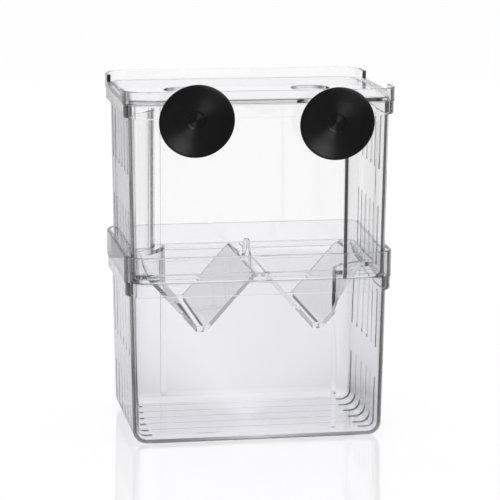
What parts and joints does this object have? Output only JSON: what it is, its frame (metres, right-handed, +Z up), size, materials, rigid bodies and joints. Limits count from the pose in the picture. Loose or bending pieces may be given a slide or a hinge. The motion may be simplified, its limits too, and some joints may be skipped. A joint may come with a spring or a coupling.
{
  "type": "fish breeding box",
  "caption": "Clear two-tier breeding box: stacked upper and lower boxes, V-channel insert, flat lid with feeding holes, and rubber suction cups.",
  "frame": {"origin": "centre of the underside of the lower box, on the surface that it stands on", "axes": "+Z up, +X along the long side, -Y towards the face with the suction cups"},
  "size_m": [0.1284, 0.1026, 0.1737],
  "materials": {
    "clear_lower_box": "clear moulded plastic, polished, faint cool tint",
    "clear_upper_box": "clear moulded plastic, polished",
    "clear_insert": "clear moulded plastic, polished, slightly darker in its thick edges",
    "clear_lid": "clear moulded plastic, polished",
    "black_rubber": "smooth black rubber with a satin sheen"
  },
  "bodies": {
    "lower_box": {"lower_box": "clear_lower_box"},
    "upper_box": {"upper_box": "clear_upper_box"},
    "insert": {"insert": "clear_insert"},
    "lid": {"lid": "clear_lid"},
    "suction_cup_left": {"suction_cup_left": "black_rubber"},
    "suction_cup_right": {"suction_cup_right": "black_rubber"}
  },
  "joints": [
    {"name": "upper_box_lift", "type": "slide", "parent": "lower_box", "child": "upper_box", "axis": [0, 0, 1], "range_m": [0, 0.06]},
    {"name": "insert_lift", "type": "slide", "parent": "upper_box", "child": "insert", "axis": [0, 0, 1], "range_m": [0, 0.065]},
    {"name": "lid_lift", "type": "slide", "parent": "upper_box", "child": "lid", "axis": [0, 0, 1], "range_m": [0, 0.04]},
    {"name": "cup_left_spin", "type": "hinge", "parent": "upper_box", "child": "suction_cup_left", "pos_m": [-0.0326, -0.04505, 0.1562], "axis": [0, -1, 0], "continuous": true},
    {"name": "cup_right_spin", "type": "hinge", "parent": "upper_box", "child": "suction_cup_right", "pos_m": [0.0326, -0.04505, 0.1562], "axis": [0, -1, 0], "continuous": true}
  ]
}
